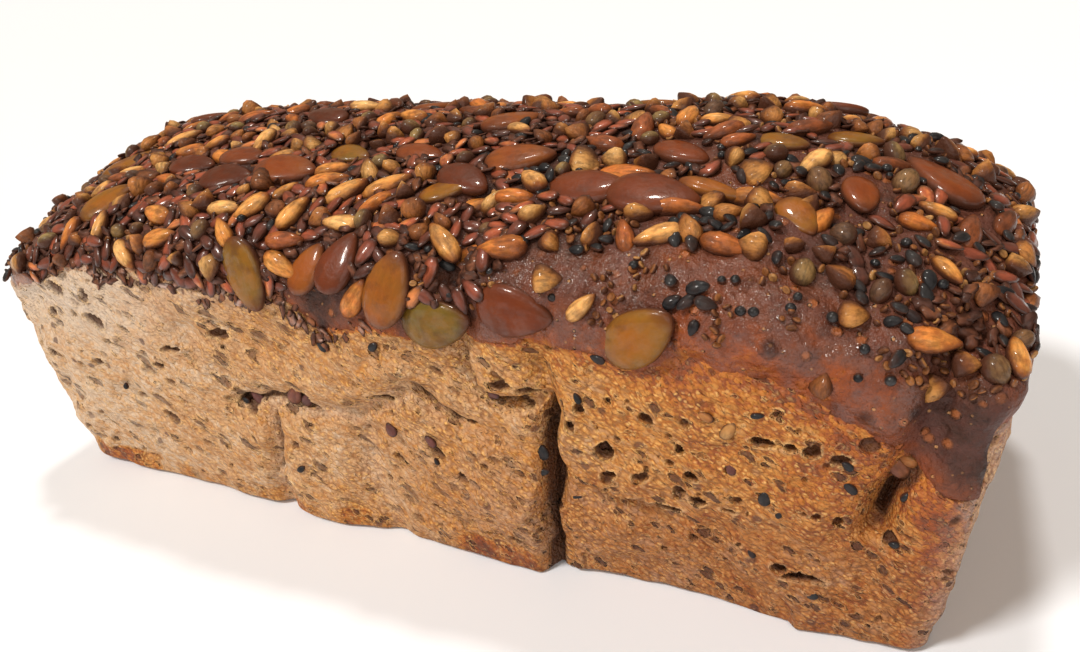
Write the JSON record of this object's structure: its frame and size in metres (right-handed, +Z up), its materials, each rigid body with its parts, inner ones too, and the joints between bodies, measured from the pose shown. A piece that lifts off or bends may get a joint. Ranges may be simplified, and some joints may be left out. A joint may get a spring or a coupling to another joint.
{
  "type": "seeded rye bread loaf",
  "caption": "Small oblong tin loaf of rye bread with a domed dark crust under mixed seeds and pale, porous, creased walls.",
  "frame": {"origin": "middle of the loaf's base, on the surface that it stands on", "axes": "+X runs along the loaf to its right end, -Y is the front long wall, and +Z is up"},
  "size_m": [0.2033, 0.0977, 0.0753],
  "materials": {
    "rye_crust": null
  },
  "bodies": {
    "root": {"loaf": "rye_crust"}
  },
  "joints": []
}
